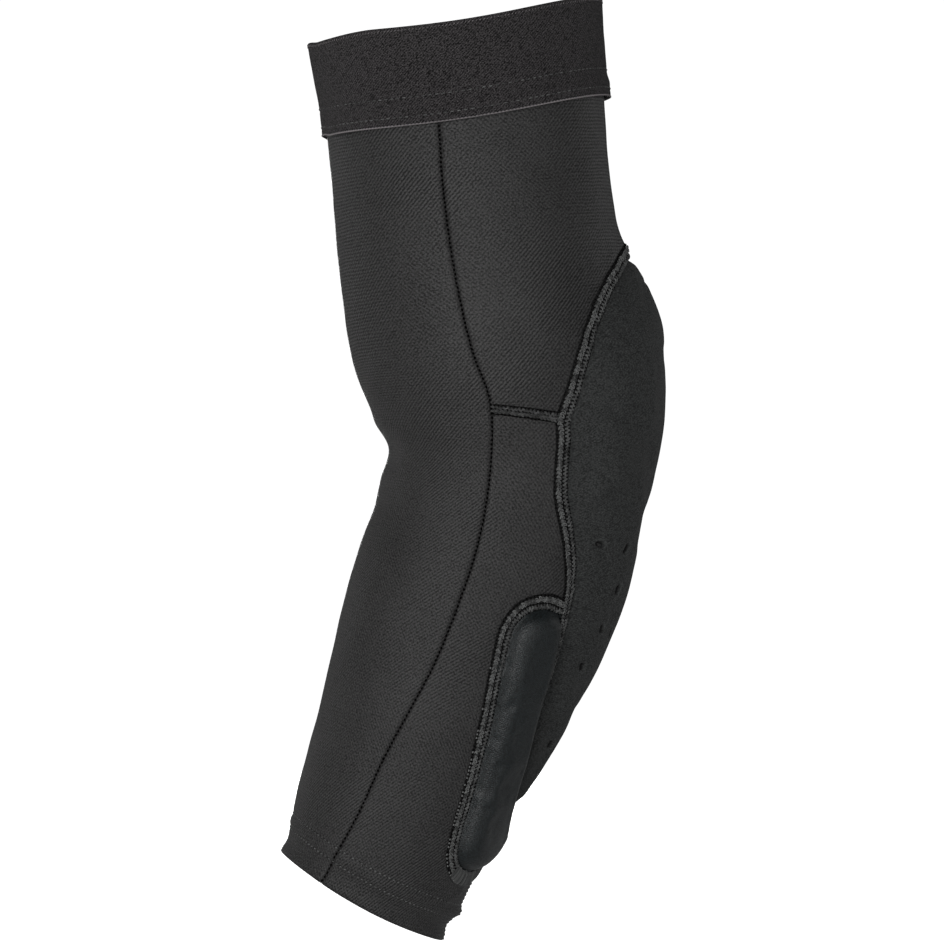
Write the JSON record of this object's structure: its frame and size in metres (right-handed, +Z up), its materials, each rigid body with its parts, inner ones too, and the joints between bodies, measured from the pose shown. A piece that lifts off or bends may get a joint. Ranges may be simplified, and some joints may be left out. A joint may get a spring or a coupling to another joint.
{
  "type": "padded elbow guard sleeve",
  "caption": "Pull-on elbow guard: knitted sleeve with wide elastic cuff, domed pad over the elbow, slim forearm side pad and gripping hem.",
  "frame": {"origin": "centre of the elbow's bend, in the middle of the sleeve, on the hinge axis that the joint turns about", "axes": "+Z up the arm towards the cuff, +X out of the back of the elbow through the pad, -Y the outer side that carries the side pad"},
  "size_m": [0.1288, 0.0922, 0.3191],
  "materials": {
    "knit": "matte compression knit with fine diagonal ribs",
    "cuff_knit": "matte knitted elastic",
    "pad_cover": "smooth matte stretch cloth",
    "side_cover": "smooth cloth with a soft sheen",
    "thread": "twisted polyester thread",
    "pale_thread": "grey edge thread",
    "foam": "soft impact foam",
    "lining": "light mesh lining",
    "silicone": "satin silicone"
  },
  "bodies": {
    "upper_arm": {"cuff_elastic_band": "cuff_knit", "cuff_edge_thread": "pale_thread", "cuff_stitch_row_lower": "thread", "cuff_stitch_row_upper": "thread", "cuff_grip_bead_1": "silicone", "cuff_grip_bead_2": "silicone", "cuff_grip_bead_3": "silicone", "front_panel_upper": "knit", "front_panel_crook": "knit", "front_seam_outer_upper": "thread", "front_seam_outer_crook": "thread", "front_seam_inner_upper": "thread", "front_seam_inner_crook": "thread", "back_panel_upper": "knit", "cross_seam_outer": "thread", "cross_seam_inner": "thread", "side_panel_elbow_outer": "knit", "side_panel_elbow_inner": "knit", "elbow_pad_cover_upper": "pad_cover", "elbow_pad_core_upper": "foam", "pad_pocket_lining_upper": "lining", "elbow_pad_cover_elbow": "pad_cover", "elbow_pad_core_elbow": "foam", "pad_pocket_lining_elbow": "lining", "pad_seam_upper": "thread", "pad_seam_elbow_outer": "thread", "pad_seam_elbow_inner": "thread"},
    "forearm": {"hem_stitch_row_lower": "thread", "hem_stitch_row_upper": "thread", "hem_grip_tape": "lining", "hem_grip_bead_1": "silicone", "hem_grip_bead_2": "silicone", "front_panel_lower": "knit", "front_seam_outer_lower": "thread", "front_seam_inner_lower": "thread", "side_panel_outer": "knit", "side_panel_inner": "knit", "back_seam_lower": "thread", "elbow_pad_cover_lower": "pad_cover", "elbow_pad_core_lower": "foam", "pad_pocket_lining_lower": "lining", "pad_seam_lower": "thread", "side_pad_seam": "thread", "side_pad_cover": "side_cover", "side_pad_foam": "foam", "side_pad_lining": "lining"}
  },
  "joints": [
    {"name": "elbow_flex", "type": "hinge", "parent": "upper_arm", "child": "forearm", "pos_m": [0, 0, 0], "axis": [0, 1, 0], "range_deg": [-24, 90], "stiffness_Nm_per_rad": 0.5, "deforming": ["front_panel_crook", "front_seam_outer_crook", "front_seam_inner_crook", "side_panel_elbow_outer", "side_panel_elbow_inner", "elbow_pad_cover_elbow", "elbow_pad_core_elbow", "pad_pocket_lining_elbow", "pad_seam_elbow_outer", "pad_seam_elbow_inner"]}
  ]
}
